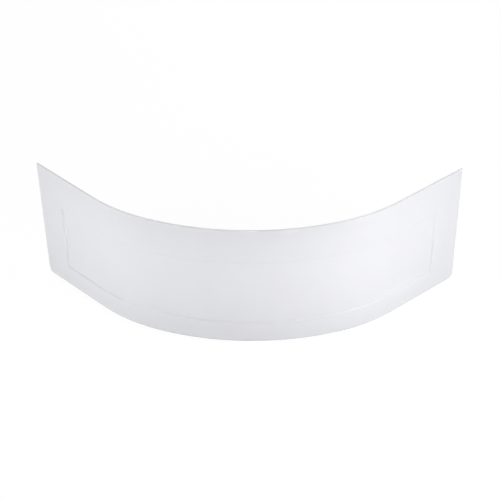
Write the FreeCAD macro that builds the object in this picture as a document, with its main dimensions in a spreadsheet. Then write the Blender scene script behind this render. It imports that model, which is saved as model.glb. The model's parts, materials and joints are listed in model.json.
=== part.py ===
"""Curved front panel of a corner bath: a formed acrylic skin on a glass-fibre backing,
with the timber, hanger plates and levelling feet that are fixed behind it.

Millimetres and degrees. +Z is up, +X runs along the chord of the curve and the
show face looks towards -Y. The panel stands on the plane Z = 0.
"""

import FreeCAD
import Part
import Sketcher
import math
import os
from FreeCAD import Placement, Rotation, Vector

SIZES = {
    # Plan of the show face at the top edge: two straight legs, two shoulders and a flatter crown
    "leg_length": 400,
    "shoulder_radius": 770,
    "crown_radius": 1105,
    "crown_half_angle": 22,
    "corner_half_angle": 45,
    # Upright section of the shell
    "panel_height": 605,
    "foot_setback": 26,
    "skin_thickness": 4,
    "backing_thickness": 3,
    "foot_roll_radius": 20,
    "foot_flange": 22,
    # Recessed field in the show face
    "field_drop": 172,
    "field_rise": 108,
    "field_margin": 153,
    "field_depth": 6,
    "field_slope": 45,
    "field_round": 4,
    # Places of the four fixing stations along the panel
    "crown_station": 16,
    "leg_station": 125,
    # Timber bonded to the backing
    "block_width": 100,
    "block_depth": 22,
    "hanger_block_drop": 70,
    "hanger_block_gap": 26,
    "foot_block_rise": 45,
    "foot_block_gap": 14,
    "batten_width": 45,
    "batten_depth": 20,
    "batten_inset": 20,
    "batten_end_gap": 45,
    "timber_chamfer": 1.5,
    # Hanger plates: a slotted lower flat, a joggle and a tongue
    "plate_width": 48,
    "plate_thickness": 3,
    "plate_margin": 9,
    "plate_joggle": 9,
    "joggle_slope": 45,
    "plate_corner": 6,
    "plate_bend": 2,
    "tongue_height": 28,
    "tongue_hole": 6.5,
    "slot_width": 6,
    "slot_travel": 8,
    # Wood screws with flanged pan heads
    "screw_pitch": 24,
    "screw_shank": 5,
    "screw_length": 18,
    "screw_flange": 11,
    "screw_head": 8,
    "screw_crest": 5,
    "screw_head_height": 3,
    "flange_height": 1,
    "pilot_clearance": 0.1,
    "slide_clearance": 0.2,
    # Levelling feet
    "bracket_width": 52,
    "bracket_thickness": 3,
    "bracket_rise": 50,
    "bracket_edge": 5,
    "bracket_corner": 12,
    "bracket_lip": 16,
    "bracket_hole": 6,
    "screw_edge": 13,
    "stud_diameter": 10,
    "stud_hole": 11,
    "stud_spare": 34,
    "stud_chamfer": 1,
    "collar_flats": 13,
    "collar_height": 6,
    "nut_flats": 16,
    "nut_height": 8,
    "pad_diameter": 40,
    "pad_base": 5,
    "pad_rim": 3,
    "pad_gap": 4,
    "boss_diameter": 20,
    "boss_height": 8,
    "gusset_count": 8,
    "gusset_thickness": 1.8,
    "gusset_inset": 3,
    "gusset_drop": 1.5,
    "snap_depth": 0.8,
    "snap_width": 1.4,
    "snap_head": 2,
    "running_clearance": 0.1,
}

# Turning the sketch plane upright: sketch x runs inward (+Y) and sketch y runs up (+Z)
UPRIGHT = Rotation(Vector(1, 1, 1), 120)
# The recess is cut from this far in front of the show face, and its end caps end this thin
PROUD = 1
TIP = 0.02
# Points closer than this are taken as one, and faces that differ by less than this many radians as smooth
TOUCH = 0.05
SHARP = 0.05

# Expressions shared by the pieces. A section is drawn at the crown with its y measured
# inward from the show face at the top edge.
LEAN = "atan(Sizes.foot_setback / Sizes.panel_height)"
SIN = f"sin({LEAN})"
COS = f"cos({LEAN})"
WALL = "(Sizes.skin_thickness + Sizes.backing_thickness)"
ROLL_CENTRE = (
    "((Sizes.foot_roll_radius"
    f" + (Sizes.panel_height - Sizes.foot_roll_radius) * {SIN}) / {COS})"
)
FLANGE_END = f"({ROLL_CENTRE} + Sizes.foot_flange)"
SHOULDER_X = "(Sizes.crown_radius * sin(Sizes.crown_half_angle))"
SHOULDER_Y = "(Sizes.crown_radius * (1 - cos(Sizes.crown_half_angle)))"
LEG_X = (
    f"({SHOULDER_X} + Sizes.shoulder_radius"
    " * (sin(Sizes.corner_half_angle) - sin(Sizes.crown_half_angle)))"
)
LEG_Y = (
    f"({SHOULDER_Y} + Sizes.shoulder_radius"
    " * (cos(Sizes.crown_half_angle) - cos(Sizes.corner_half_angle)))"
)
FRONT = (
    f"(-({LEG_Y} + Sizes.leg_length * sin(Sizes.corner_half_angle)"
    f" + {FLANGE_END} * cos(Sizes.corner_half_angle)) / 2)"
)

# The face runs this far from the top edge down to the floor plane
FACE_LENGTH = f"(Sizes.panel_height / {COS})"
FIELD_END = "(Sizes.leg_length - Sizes.field_margin)"
SPREAD = "tan(Sizes.field_slope / 2)"
RUN = "tan(90 - Sizes.field_slope)"

HANGER_TOP = "(Sizes.panel_height - Sizes.hanger_block_drop)"
HANGER_LOW = "(Sizes.panel_height - Sizes.field_drop + Sizes.hanger_block_gap)"
HANGER_MIDDLE = f"(({HANGER_TOP} + {HANGER_LOW}) / 2)"
FOOT_LOW = "Sizes.foot_block_rise"
FOOT_TOP = "(Sizes.field_rise - Sizes.foot_block_gap)"
UPRIGHT_TOP = f"({FOOT_TOP} - Sizes.bracket_edge)"
STUD_Y = f"({FLANGE_END} + Sizes.pad_gap + Sizes.pad_diameter / 2)"
NUT_LOW = "(Sizes.bracket_rise + Sizes.bracket_thickness)"
BOSS_TOP = "(Sizes.pad_base + Sizes.boss_height)"


def inner_face(height):
    """Distance inward from the top edge of the show face to the backing's inner face."""
    return f"((Sizes.panel_height - {height}) * tan({LEAN}) + {WALL} / {COS})"


HANGER_SEAT = f"({inner_face(HANGER_LOW)} + Sizes.block_depth)"
FOOT_SEAT = f"({inner_face(FOOT_LOW)} + Sizes.block_depth)"


def make_sheet(doc):
    """Put every driving dimension in its own named cell."""
    sheet = doc.addObject("Spreadsheet::Sheet", "Sizes")
    for row, (alias, value) in enumerate(SIZES.items(), start=1):
        sheet.set(f"A{row}", alias)
        sheet.set(f"B{row}", str(value))
        sheet.setAlias(f"B{row}", alias)
    doc.recompute()
    return sheet


def bind(item, **expressions):
    """Tie properties to expressions; a double underscore stands for the dot of a path."""
    for path, expression in expressions.items():
        item.setExpression(path.replace("__", "."), expression)


def place(item, x="0", y="0", z="0", turn="0"):
    """Tie a placement to expressions: a turn about the vertical, then a move.

    The starting turn is not zero, so that it keeps its axis for the angle to be tied to.
    """
    item.Placement = Placement(Vector(), Rotation(Vector(0, 0, 1), 1))
    bind(item, Placement__Base__x=x, Placement__Base__y=y, Placement__Base__z=z)
    bind(item, Placement__Rotation__Angle=turn)


def dimension(sketch, name, expression, kind, *where, start=1.0):
    """Add a named dimension to a sketch, at a starting value, and tie it to an expression."""
    index = sketch.addConstraint(Sketcher.Constraint(kind, *where, float(start)))
    sketch.renameConstraint(index, name)
    sketch.setExpression(f"Constraints.{name}", expression)


def draw_polygon(sketch, corners):
    """Closed straight-sided outline, each corner held by two dimensions from the origin."""
    count = len(corners)
    guesses = [
        Vector(math.cos(2 * math.pi * i / count), math.sin(2 * math.pi * i / count), 0)
        for i in range(count)
    ]
    first = sketch.GeometryCount
    for i in range(count):
        sketch.addGeometry(Part.LineSegment(guesses[i], guesses[(i + 1) % count]))
    for i, (x, y) in enumerate(corners):
        line = first + i
        follower = first + (i + 1) % count
        sketch.addConstraint(Sketcher.Constraint("Coincident", line, 2, follower, 1))
        dimension(sketch, f"x{line}", x, "DistanceX", -1, 1, line, 1)
        dimension(sketch, f"y{line}", y, "DistanceY", -1, 1, line, 1)


def draw_circle(sketch, x, y, radius):
    """Circle held by its centre and radius."""
    circle = sketch.addGeometry(Part.Circle(Vector(1, 1, 0), Vector(0, 0, 1), 1))
    dimension(sketch, f"x{circle}", x, "DistanceX", -1, 1, circle, 3)
    dimension(sketch, f"y{circle}", y, "DistanceY", -1, 1, circle, 3)
    dimension(sketch, f"radius{circle}", radius, "Radius", circle)


def draw_upright_slot(sketch, x, low, high, radius):
    """Upright slot with round ends whose centres lie at two heights."""
    top = sketch.addGeometry(
        Part.ArcOfCircle(Part.Circle(Vector(0, 2, 0), Vector(0, 0, 1), 1), 0, math.pi)
    )
    bottom = sketch.addGeometry(
        Part.ArcOfCircle(Part.Circle(Vector(0, -2, 0), Vector(0, 0, 1), 1), math.pi, 2 * math.pi)
    )
    left = sketch.addGeometry(Part.LineSegment(Vector(-1, 2, 0), Vector(-1, -2, 0)))
    right = sketch.addGeometry(Part.LineSegment(Vector(1, -2, 0), Vector(1, 2, 0)))
    for line, line_end, arc, arc_end in (
        (left, 1, top, 2),
        (left, 2, bottom, 1),
        (right, 1, bottom, 2),
        (right, 2, top, 1),
    ):
        sketch.addConstraint(Sketcher.Constraint("Tangent", line, line_end, arc, arc_end))
    sketch.addConstraint(Sketcher.Constraint("Equal", top, bottom))
    for name, expression, start, kind, *where in (
        (f"x{top}", x, 0, "DistanceX", -1, 1, top, 3),
        (f"x{bottom}", x, 0, "DistanceX", -1, 1, bottom, 3),
        (f"y{top}", high, 2, "DistanceY", -1, 1, top, 3),
        (f"y{bottom}", low, -2, "DistanceY", -1, 1, bottom, 3),
        (f"radius{top}", radius, 1, "Radius", top),
    ):
        dimension(sketch, name, expression, kind, *where, start=start)


def upright_sketch(doc, name):
    """Free sketch in the upright plane through the crown."""
    sketch = doc.addObject("Sketcher::SketchObject", name)
    sketch.Placement = Placement(Vector(), UPRIGHT)
    return sketch


def face_point(drop, depth):
    """Point of a section, from its drop down the leaning face and its depth behind it."""
    return (
        f"({drop}) * {SIN} + ({depth}) * {COS}",
        f"Sizes.panel_height - ({drop}) * {COS} + ({depth}) * {SIN}",
    )


def shell_section(doc, name, sizes, near, far):
    """Section of one layer of the shell, between two depths behind the show face."""
    near_text, near_depth = near
    far_text, far_depth = far
    lean = math.atan(sizes["foot_setback"] / sizes["panel_height"])
    height = sizes["panel_height"]
    roll = sizes["foot_roll_radius"]
    inward = Vector(math.cos(lean), math.sin(lean), 0)
    centre_x = (roll + (height - roll) * math.sin(lean)) / math.cos(lean)
    centre = Vector(centre_x, roll, 0)
    flange_x = centre_x + sizes["foot_flange"]

    def top(depth):
        return Vector(depth / math.cos(lean), height, 0)

    def heel(depth):
        return centre - inward * (roll - depth)

    def arc(depth):
        circle = Part.Circle(centre, Vector(0, 0, 1), roll - depth)
        return Part.ArcOfCircle(circle, math.pi + lean, 1.5 * math.pi)

    sketch = upright_sketch(doc, name)
    face, roll_out, floor, rim, sole, roll_in, back, edge, guide = range(9)
    sketch.addGeometry(Part.LineSegment(top(near_depth), heel(near_depth)))
    sketch.addGeometry(arc(near_depth))
    sketch.addGeometry(
        Part.LineSegment(Vector(centre_x, near_depth, 0), Vector(flange_x, near_depth, 0))
    )
    sketch.addGeometry(
        Part.LineSegment(Vector(flange_x, near_depth, 0), Vector(flange_x, far_depth, 0))
    )
    sketch.addGeometry(
        Part.LineSegment(Vector(flange_x, far_depth, 0), Vector(centre_x, far_depth, 0))
    )
    sketch.addGeometry(arc(far_depth))
    sketch.addGeometry(Part.LineSegment(heel(far_depth), top(far_depth)))
    sketch.addGeometry(Part.LineSegment(top(far_depth), top(near_depth)))
    sketch.addGeometry(
        Part.LineSegment(Vector(0, height, 0), Vector(sizes["foot_setback"], 0, 0)), True
    )
    for kind, *where in (
        ("Tangent", face, 2, roll_out, 1),
        ("Tangent", roll_out, 2, floor, 1),
        ("Coincident", floor, 2, rim, 1),
        ("Coincident", rim, 2, sole, 1),
        ("Tangent", sole, 2, roll_in, 2),
        ("Tangent", roll_in, 1, back, 1),
        ("Coincident", back, 2, edge, 1),
        ("Coincident", edge, 2, face, 1),
        ("Coincident", roll_out, 3, roll_in, 3),
        ("Horizontal", floor),
        ("Horizontal", sole),
        ("Vertical", rim),
        ("Horizontal", edge),
        ("Parallel", face, guide),
        ("Parallel", back, guide),
        ("PointOnObject", guide, 1, -2),
        ("PointOnObject", guide, 2, -1),
        ("Horizontal", guide, 1, face, 1),
    ):
        sketch.addConstraint(Sketcher.Constraint(kind, *where))
    layer = far_depth - near_depth
    inset = near_depth / math.cos(lean)
    for name, expression, start, kind, *where in (
        ("height", "Sizes.panel_height", height, "DistanceY", -1, 1, guide, 1),
        ("setback", "Sizes.foot_setback", sizes["foot_setback"], "DistanceX", -1, 1, guide, 2),
        ("inset", f"({near_text}) / {COS}", inset, "DistanceX", -1, 1, face, 1),
        ("rise", near_text, near_depth, "DistanceY", -1, 1, floor, 1),
        ("roll", f"Sizes.foot_roll_radius - ({near_text})", roll - near_depth, "Radius", roll_out),
        ("flange", "Sizes.foot_flange", sizes["foot_flange"], "DistanceX", floor, 1, floor, 2),
        ("layer", f"({far_text}) - ({near_text})", layer, "DistanceY", rim, 1, rim, 2),
    ):
        dimension(sketch, name, expression, kind, *where, start=start)
    return sketch


def mirrored(doc, item):
    """The same piece on the left."""
    copy = doc.addObject("Part::Mirroring", f"{item.Name}_left")
    copy.Source = item
    copy.Normal = Vector(1, 0, 0)
    return copy


def sweep_plan(doc, name, section, leg, caps=()):
    """Carry a section round the crown and both shoulders and along both legs."""
    crown = doc.addObject("Part::Revolution", f"{name}_crown")
    shoulder = doc.addObject("Part::Revolution", f"{name}_shoulder")
    for arc, radius, angle in (
        (crown, "Sizes.crown_radius", "2 * Sizes.crown_half_angle"),
        (shoulder, "Sizes.shoulder_radius", "Sizes.corner_half_angle - Sizes.crown_half_angle"),
    ):
        arc.Source = section
        arc.Axis = Vector(0, 0, 1)
        arc.Solid = True
        bind(arc, Base__y=radius, Angle=angle)
    crown.Symmetric = True
    place(shoulder, SHOULDER_X, SHOULDER_Y, turn="Sizes.crown_half_angle")
    straight = doc.addObject("Part::Extrusion", f"{name}_leg")
    straight.Base = section
    straight.DirMode = "Custom"
    straight.Dir = Vector(1, 0, 0)
    straight.Solid = True
    bind(straight, LengthFwd=leg)
    place(straight, LEG_X, LEG_Y, turn="Sizes.corner_half_angle")
    right = [shoulder, straight, *caps]
    whole = doc.addObject("Part::MultiFuse", name)
    whole.Shapes = [crown, *right, *[mirrored(doc, item) for item in right]]
    whole.Refine = True
    return whole


def field_section(doc, name, offset, lead, depth):
    """Section of the recess at an offset behind the show face, with sloping walls."""
    front = f"({offset}) - ({lead})"
    back = f"({offset}) + ({depth})"
    high = f"Sizes.field_drop - ({offset}) * {SPREAD}"
    low = f"{FACE_LENGTH} - Sizes.field_rise + ({offset}) * {SPREAD}"
    sketch = upright_sketch(doc, name)
    draw_polygon(
        sketch,
        [
            face_point(f"{high} - ({lead}) * {RUN}", front),
            face_point(f"{low} + ({lead}) * {RUN}", front),
            face_point(f"{low} - ({depth}) * {RUN}", back),
            face_point(f"{high} + ({depth}) * {RUN}", back),
        ],
    )
    return sketch


def field_block(doc, name, sizes, offset, lead, radius):
    """Solid of the recess at an offset behind the show face, with rounded floor edges."""
    offset_text, offset_depth = offset
    section = field_section(doc, f"{name}_section", offset_text, lead, "Sizes.field_depth")
    tip = field_section(doc, f"{name}_tip", offset_text, lead, f"{TIP} - ({lead})")
    end = f"({FIELD_END} + ({offset_text}) * {SPREAD})"
    floor_end = f"({end} - Sizes.field_depth * {RUN})"
    bind(tip, Placement__Base__x=f"(Sizes.field_depth + ({lead}) - {TIP}) * {RUN}")
    cap = doc.addObject("Part::Loft", f"{name}_cap")
    cap.Sections = [section, tip]
    cap.Solid = True
    cap.Ruled = True
    place(
        cap,
        f"{LEG_X} + {floor_end} * cos(Sizes.corner_half_angle)",
        f"{LEG_Y} + {floor_end} * sin(Sizes.corner_half_angle)",
        turn="Sizes.corner_half_angle",
    )
    block = sweep_plan(doc, f"{name}_block", section, floor_end, caps=[cap])
    doc.recompute()
    floor_depth = offset_depth + sizes["field_depth"]
    rounded = doc.addObject("Part::Fillet", name)
    rounded.Base = block
    rounded.Edges = [
        (index, radius, radius) for index in recess_edges(block.Shape, sizes, floor_depth)
    ]
    return rounded


def face_depth(point, sizes):
    """Depth of a point behind the leaning show face, with the crown's front at Y = 0."""
    crown_half = math.radians(sizes["crown_half_angle"])
    corner_half = math.radians(sizes["corner_half_angle"])
    crown = sizes["crown_radius"]
    shoulder = sizes["shoulder_radius"]
    across = abs(point.x)
    crown_turn = math.atan2(across, crown - point.y)
    pivot_x = (crown - shoulder) * math.sin(crown_half)
    pivot_y = crown - (crown - shoulder) * math.cos(crown_half)
    shoulder_turn = math.atan2(across - pivot_x, pivot_y - point.y)
    if crown_turn <= crown_half:
        inset = crown - math.hypot(across, crown - point.y)
    elif shoulder_turn <= corner_half:
        inset = shoulder - math.hypot(across - pivot_x, pivot_y - point.y)
    else:
        along = (across - pivot_x) * math.sin(corner_half)
        inset = shoulder - along - (pivot_y - point.y) * math.cos(corner_half)
    lean = math.atan(sizes["foot_setback"] / sizes["panel_height"])
    return inset * math.cos(lean) - (sizes["panel_height"] - point.z) * math.sin(lean)


def middle_of(piece):
    """Point in the middle of an edge's or a face's parameter range."""
    limits = piece.ParameterRange
    if len(limits) == 2:
        return piece.valueAt((limits[0] + limits[1]) / 2)
    return piece.valueAt((limits[0] + limits[1]) / 2, (limits[2] + limits[3]) / 2)


def recess_edges(shape, sizes, floor_depth):
    """Edges round the recess floor, and those that climb from its four corners."""
    found = []
    for index, edge in enumerate(shape.Edges, start=1):
        depths = [
            face_depth(middle_of(face), sizes) for face in shape.ancestorsOfType(edge, Part.Face)
        ]
        on_floor = [abs(depth - floor_depth) < TOUCH for depth in depths]
        bounds_floor = any(on_floor) and not all(on_floor)
        ends = [face_depth(vertex.Point, sizes) for vertex in edge.Vertexes]
        climbs = max(ends) - min(ends) > sizes["field_depth"] / 2
        looks = [face_normal(edge, face) for face in shape.ancestorsOfType(edge, Part.Face)]
        if bounds_floor or (climbs and looks[0].getAngle(looks[-1]) > SHARP):
            found.append(index)
    return found


def face_normal(edge, face):
    """Direction that a face looks in at the middle of one of its edges."""
    u, v = face.Surface.parameter(middle_of(edge))
    return face.normalAt(u, v)


def rim_edges(shape, sizes):
    """Edges where the flat show face turns into the recess."""
    found = []
    for index, edge in enumerate(shape.Edges, start=1):
        faces = shape.ancestorsOfType(edge, Part.Face)
        depths = sorted(face_depth(middle_of(face), sizes) for face in faces)
        above_roll = middle_of(edge).z > sizes["foot_roll_radius"] + TOUCH
        below_top = middle_of(edge).z < sizes["panel_height"] - sizes["field_drop"] / 2
        meets_wall = abs(depths[0]) < TOUCH < depths[-1] < sizes["field_depth"] - TOUCH
        if above_roll and below_top and meets_wall:
            found.append(index)
    return found


def make_shell(doc, sizes):
    """Acrylic skin with its recessed field and rolled foot, and the backing laid up behind it."""
    skin = sizes["skin_thickness"]
    wall = skin + sizes["backing_thickness"]
    face = ("0", 0)
    joint = ("Sizes.skin_thickness", skin)
    inside = (WALL, wall)

    inner_round = sizes["field_round"]
    outer_round = inner_round + skin
    recess = field_block(doc, "recess", sizes, face, str(PROUD), inner_round)
    skin_bulge = field_block(
        doc, "skin_bulge", sizes, joint, "Sizes.skin_thickness / 2", outer_round
    )
    backing_bulge = field_block(
        doc, "backing_bulge", sizes, inside, "Sizes.backing_thickness / 2", outer_round
    )

    skin_band = sweep_plan(
        doc, "skin_band", shell_section(doc, "skin_section", sizes, face, joint), "Sizes.leg_length"
    )
    skin_whole = doc.addObject("Part::MultiFuse", "skin_whole")
    skin_whole.Shapes = [skin_band, skin_bulge]
    skin_cut = doc.addObject("Part::Cut", "skin_cut")
    skin_cut.Base = skin_whole
    skin_cut.Tool = recess
    doc.recompute()
    acrylic = doc.addObject("Part::Fillet", "acrylic_skin")
    acrylic.Base = skin_cut
    radius = sizes["field_round"]
    acrylic.Edges = [(index, radius, radius) for index in rim_edges(skin_cut.Shape, sizes)]

    backing_band = sweep_plan(
        doc,
        "backing_band",
        shell_section(doc, "backing_section", sizes, joint, inside),
        "Sizes.leg_length",
    )
    backing_whole = doc.addObject("Part::MultiFuse", "backing_whole")
    backing_whole.Shapes = [backing_band, backing_bulge]
    glassfibre = doc.addObject("Part::Cut", "glassfibre_backing")
    glassfibre.Base = backing_whole
    glassfibre.Tool = skin_bulge
    for layer in (acrylic, glassfibre):
        place(layer, y=FRONT)
    return [acrylic, glassfibre]


def stations():
    """The four places along the panel where it is hung and stood: name, x, y and turn."""
    along = "(Sizes.leg_length - Sizes.leg_station)"
    for side, sign in (("left", -1), ("right", 1)):
        yield (
            f"{side}_outer",
            f"{sign} * ({LEG_X} + {along} * cos(Sizes.corner_half_angle))",
            f"({LEG_Y} + {along} * sin(Sizes.corner_half_angle))",
            f"{sign} * Sizes.corner_half_angle",
        )
        yield (
            f"{side}_inner",
            f"{sign} * Sizes.crown_radius * sin(Sizes.crown_station)",
            "(Sizes.crown_radius * (1 - cos(Sizes.crown_station)))",
            f"{sign} * Sizes.crown_station",
        )


def origin_plane(body, role):
    """One of a body's own base planes."""
    return next(item for item in body.Origin.OriginFeatures if item.Role == role)


def body_sketch(body, name, role):
    """Sketch on one of a body's own base planes."""
    sketch = body.newObject("Sketcher::SketchObject", f"{body.Name}_{name}")
    sketch.AttachmentSupport = (origin_plane(body, role), "")
    sketch.MapMode = "FlatFace"
    return sketch


def pad(body, sketch, length):
    """Pad a section to both sides of its plane."""
    feature = body.newObject("PartDesign::Pad", f"{sketch.Name}_pad")
    feature.Profile = sketch
    feature.SideType = "Symmetric"
    bind(feature, Length=length)
    return feature


def pocket(body, sketch):
    """Cut a sketch right through, to both sides of its plane."""
    feature = body.newObject("PartDesign::Pocket", f"{sketch.Name}_pocket")
    feature.Profile = sketch
    feature.SideType = "Symmetric"
    feature.Type = "ThroughAll"
    return feature


def edges_where(shape, wanted):
    """Indices of the edges of a shape that a test picks out."""
    return [index for index, edge in enumerate(shape.Edges, start=1) if wanted(edge)]


def ease_edges(doc, body, base, kind, name, wanted, **sizes):
    """Fillet or chamfer the edges of a feature that a test picks out."""
    doc.recompute()
    feature = body.newObject(f"PartDesign::{kind}", f"{body.Name}_{name}")
    feature.Base = (base, [f"Edge{index}" for index in edges_where(base.Shape, wanted)])
    bind(feature, **sizes)
    return feature


def round_edges(doc, body, base, name, radius, wanted):
    """Round the edges of a feature that a test picks out."""
    return ease_edges(doc, body, base, "Fillet", name, wanted, Radius=radius)


def runs_along(edge, direction):
    """True for a straight edge parallel to a direction."""
    if len(edge.Vertexes) != 2 or not isinstance(edge.Curve, (Part.Line, Part.LineSegment)):
        return False
    ends = edge.Vertexes[1].Point - edge.Vertexes[0].Point
    return abs(ends.normalize().dot(direction)) > 0.999


def make_wall_tool(doc):
    """Everything in front of the backing's inner face, for fitting timber to it."""
    section = upright_sketch(doc, "wall_section")
    beyond = "2 * Sizes.block_depth"
    draw_polygon(
        section,
        [
            face_point(f"-{beyond}", f"-{beyond}"),
            face_point(f"{FACE_LENGTH} + {beyond}", f"-{beyond}"),
            face_point(f"{FACE_LENGTH} + {beyond}", WALL),
            face_point(f"-{beyond}", WALL),
        ],
    )
    return sweep_plan(doc, "wall_tool", section, "Sizes.leg_length")


def make_block(doc, name, wall_tool, station, low, top, seat, screw_height):
    """Timber block bedded on the backing, with a flat eased seat and two pilot holes."""
    x, y, turn = station
    body = doc.addObject("PartDesign::Body", f"{name}_blank")
    section = body_sketch(body, "section", "YZ_Plane")
    front = f"{seat} - 2 * Sizes.block_depth"
    draw_polygon(section, [(front, low), (seat, low), (seat, top), (front, top)])
    blank = pad(body, section, "Sizes.block_width")
    doc.recompute()
    seat_face = blank.Shape.BoundBox.YMax

    def at_seat(edge):
        return all(vertex.Y > seat_face - TOUCH for vertex in edge.Vertexes)

    ease_edges(doc, body, blank, "Chamfer", "eased", at_seat, Size="Sizes.timber_chamfer")
    holes = body_sketch(body, "holes", "XZ_Plane")
    radius = "Sizes.screw_shank / 2 + Sizes.pilot_clearance"
    for half in ("-Sizes.screw_pitch / 2", "Sizes.screw_pitch / 2"):
        draw_circle(holes, half, screw_height, radius)
    pocket(body, holes)
    place(body, x, y, turn=turn)
    block = doc.addObject("Part::Cut", name)
    block.Base = body
    block.Tool = wall_tool
    place(block, y=FRONT)
    return block


def make_screws(doc, name, station, seat, height):
    """Pair of wood screws with flanged heads whose undersides lie at a seat."""
    x, y, turn = station
    section = doc.addObject("Sketcher::SketchObject", f"{name}_section")
    shank = "Sizes.screw_shank / 2"
    tip = f"{seat} - Sizes.screw_length"
    flange_top = f"{seat} + Sizes.flange_height"
    crest = f"{seat} + Sizes.screw_head_height"
    draw_polygon(
        section,
        [
            ("0", tip),
            (shank, f"{tip} + Sizes.screw_shank"),
            (shank, seat),
            ("Sizes.screw_flange / 2", seat),
            ("Sizes.screw_flange / 2", flange_top),
            ("Sizes.screw_head / 2", flange_top),
            ("Sizes.screw_crest / 2", crest),
            ("0", crest),
        ],
    )
    screws = []
    for side, half in (("a", "-Sizes.screw_pitch / 2"), ("b", "Sizes.screw_pitch / 2")):
        screw = doc.addObject("Part::Revolution", f"{name}_{side}")
        screw.Source = section
        screw.Axis = Vector(0, 1, 0)
        screw.Angle = 360
        screw.Solid = True
        place(screw, half, z=height)
        screws.append(screw)
    group = doc.addObject("Part::Compound", name)
    group.Links = screws
    place(group, x, f"{y} + {FRONT}", turn=turn)
    return group


def make_hanger_plate(doc, name, station):
    """Joggled steel plate: two upright slots below, a tongue with a fixing hole above."""
    x, y, turn = station
    body = doc.addObject("PartDesign::Body", name)
    seat = f"({HANGER_SEAT} + Sizes.slide_clearance)"
    outer = f"({seat} + Sizes.plate_thickness)"
    shift = "Sizes.plate_joggle"
    climb = f"({shift} / tan(Sizes.joggle_slope))"
    reach = "(Sizes.slot_travel + Sizes.slot_width / 2 + Sizes.plate_margin)"
    low = f"({HANGER_MIDDLE} - {reach})"
    bend = f"({HANGER_MIDDLE} + {reach})"
    tongue = f"({bend} + {climb})"
    top = f"({tongue} + Sizes.tongue_height)"
    ease = "Sizes.plate_thickness * tan(Sizes.joggle_slope / 2)"
    section = body_sketch(body, "section", "YZ_Plane")
    draw_polygon(
        section,
        [
            (seat, low),
            (outer, low),
            (outer, f"{bend} - {ease}"),
            (f"{outer} + {shift}", f"{tongue} - {ease}"),
            (f"{outer} + {shift}", top),
            (f"{seat} + {shift}", top),
            (f"{seat} + {shift}", tongue),
            (seat, bend),
        ],
    )
    blank = pad(body, section, "Sizes.plate_width")
    doc.recompute()
    heights = [vertex.Z for vertex in blank.Shape.Vertexes]
    lowest = min(heights)
    highest = max(heights)

    def is_bend(edge):
        inside = lowest + TOUCH < edge.Vertexes[0].Z < highest - TOUCH
        return inside and runs_along(edge, Vector(1, 0, 0))

    bent = round_edges(doc, body, blank, "bends", "Sizes.plate_bend", is_bend)
    round_edges(
        doc,
        body,
        bent,
        "corners",
        "Sizes.plate_corner",
        lambda edge: runs_along(edge, Vector(0, 1, 0)),
    )
    cuts = body_sketch(body, "cuts", "XZ_Plane")
    for half in ("-Sizes.screw_pitch / 2", "Sizes.screw_pitch / 2"):
        draw_upright_slot(
            cuts,
            half,
            f"{HANGER_MIDDLE} - Sizes.slot_travel",
            f"{HANGER_MIDDLE} + Sizes.slot_travel",
            "Sizes.slot_width / 2",
        )
    draw_circle(cuts, "0", f"{tongue} + Sizes.tongue_height / 2", "Sizes.tongue_hole / 2")
    pocket(body, cuts)
    place(body, x, f"{y} + {FRONT}", turn=turn)
    return body


def make_foot_bracket(doc, name, station):
    """Folded steel angle: an upright screwed to the block and a shelf that carries the nut."""
    x, y, turn = station
    body = doc.addObject("PartDesign::Body", name)
    plate = "Sizes.bracket_thickness"
    low = "Sizes.bracket_rise"
    far = f"({STUD_Y} + Sizes.bracket_lip)"
    section = body_sketch(body, "section", "YZ_Plane")
    draw_polygon(
        section,
        [
            (FOOT_SEAT, low),
            (far, low),
            (far, f"{low} + {plate}"),
            (f"{FOOT_SEAT} + {plate}", f"{low} + {plate}"),
            (f"{FOOT_SEAT} + {plate}", UPRIGHT_TOP),
            (FOOT_SEAT, UPRIGHT_TOP),
        ],
    )
    blank = pad(body, section, "Sizes.bracket_width")
    doc.recompute()
    box = blank.Shape.BoundBox

    def inner_fold(edge):
        y, z = edge.Vertexes[0].Y, edge.Vertexes[0].Z
        clear_y = box.YMin + TOUCH < y < box.YMax - TOUCH
        clear_z = box.ZMin + TOUCH < z < box.ZMax - TOUCH
        return clear_y and clear_z and runs_along(edge, Vector(1, 0, 0))

    def outer_fold(edge):
        y, z = edge.Vertexes[0].Y, edge.Vertexes[0].Z
        at_corner = y < box.YMin + TOUCH and z < box.ZMin + TOUCH
        return at_corner and runs_along(edge, Vector(1, 0, 0))

    bent = round_edges(doc, body, blank, "inner_bend", "Sizes.plate_bend", inner_fold)
    bent = round_edges(
        doc, body, bent, "outer_bend", f"Sizes.plate_bend + {plate}", outer_fold
    )
    bent = round_edges(
        doc,
        body,
        bent,
        "shelf_corners",
        "Sizes.bracket_corner",
        lambda edge: runs_along(edge, Vector(0, 0, 1)) and edge.Vertexes[0].Y > box.YMax - TOUCH,
    )
    round_edges(
        doc,
        body,
        bent,
        "upright_corners",
        "Sizes.plate_corner",
        lambda edge: runs_along(edge, Vector(0, 1, 0)) and edge.Vertexes[0].Z > box.ZMax - TOUCH,
    )
    holes = body_sketch(body, "holes", "XZ_Plane")
    for half in ("-Sizes.screw_pitch / 2", "Sizes.screw_pitch / 2"):
        draw_circle(
            holes, half, f"{UPRIGHT_TOP} - Sizes.screw_edge", "Sizes.bracket_hole / 2"
        )
    pocket(body, holes)
    bore = body_sketch(body, "bore", "XY_Plane")
    draw_circle(bore, "0", STUD_Y, "Sizes.stud_hole / 2")
    pocket(body, bore)
    place(body, x, f"{y} + {FRONT}", turn=turn)
    return body


def hexagon(flats, centre_y):
    """Corners of a hexagon about a point on the section's y axis."""
    radius = f"{flats} / sqrt(3)"
    return [
        (f"{radius} * cos({60 * i})", f"{centre_y} + {radius} * sin({60 * i})") for i in range(6)
    ]


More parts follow.
